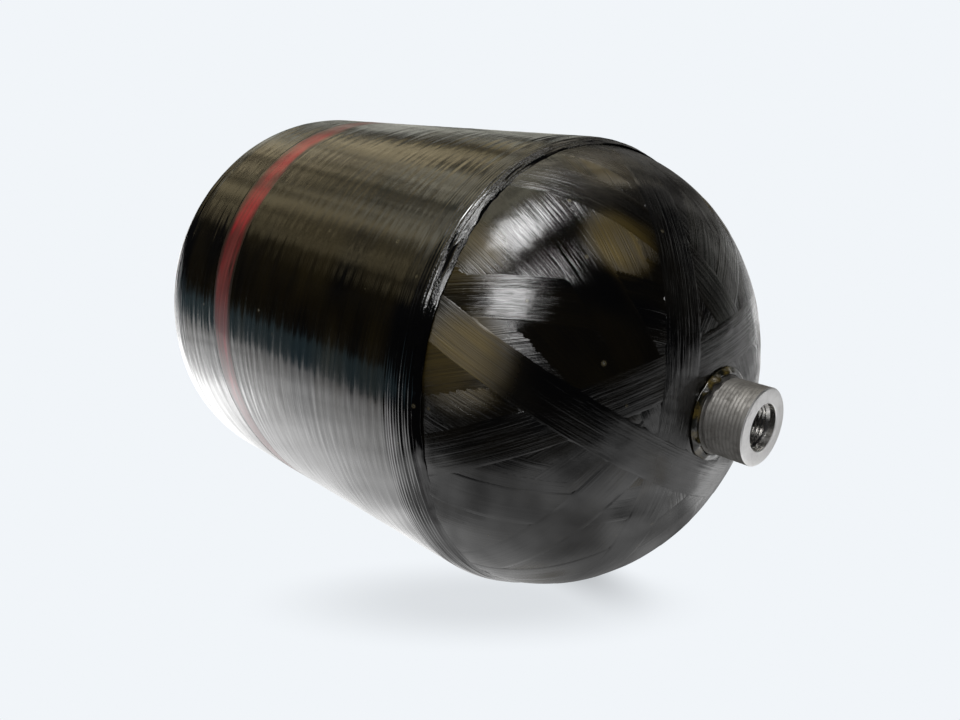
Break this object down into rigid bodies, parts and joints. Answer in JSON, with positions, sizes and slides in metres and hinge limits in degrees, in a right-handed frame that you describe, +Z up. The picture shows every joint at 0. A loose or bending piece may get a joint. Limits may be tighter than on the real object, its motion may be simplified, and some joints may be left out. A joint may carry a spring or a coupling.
{
  "type": "composite pressure vessel",
  "caption": "Filament-wound pressure vessel lying on its side: domed aluminium liner with threaded neck port, glossy carbon wrap and a tracer band.",
  "frame": {"origin": "on the ground under the middle of the overall length, with the vessel lying on its side", "axes": "+X along the vessel axis towards the threaded neck, +Z up, +Y across the vessel"},
  "size_m": [0.3426, 0.196, 0.196],
  "materials": {
    "liner_metal": "turned, dull grey, with a pale faced end",
    "helical_laminate": "glossy epoxy over near-black carbon tow",
    "hoop_laminate": "glossy epoxy over near-black tow laid round the cylinder",
    "band_laminate": "glossy epoxy over near-black to olive carbon bands",
    "tracer": "dark red tow under clear epoxy",
    "resin": "amber cured epoxy, glossy"
  },
  "bodies": {
    "root": {"liner": "liner_metal", "helical_wrap": "helical_laminate", "hoop_wrap": "hoop_laminate", "tracer_band": "tracer", "neck_bands": "band_laminate", "base_bands": "band_laminate", "neck_resin": "resin", "base_resin": "resin"}
  },
  "joints": []
}
